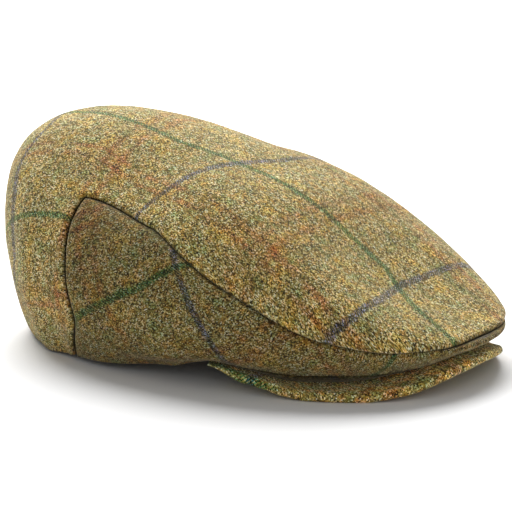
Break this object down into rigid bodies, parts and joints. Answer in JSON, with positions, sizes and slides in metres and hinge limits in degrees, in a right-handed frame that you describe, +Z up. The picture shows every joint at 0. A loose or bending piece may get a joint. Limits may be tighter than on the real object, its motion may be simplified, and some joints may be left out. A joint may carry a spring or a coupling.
{
  "type": "flat cap",
  "caption": "Flat cap of checked tweed with a smooth top panel drawn down at the back, side panels and a short covered peak under the front of the crown.",
  "frame": {"origin": "under the middle of the cap, on the surface it rests on", "axes": "+X forward, the way the peak points; +Y to the wearer's left; +Z up"},
  "size_m": [0.276, 0.1942, 0.1178],
  "materials": {
    "top_cloth": "woollen tweed with an overcheck",
    "side_cloth": "woollen tweed with an overcheck",
    "peak_cloth": "woollen tweed over a stiff board"
  },
  "bodies": {
    "root": {"top_panel": "top_cloth", "side_panel_right": "side_cloth", "side_panel_left": "side_cloth", "peak": "peak_cloth"}
  },
  "joints": []
}
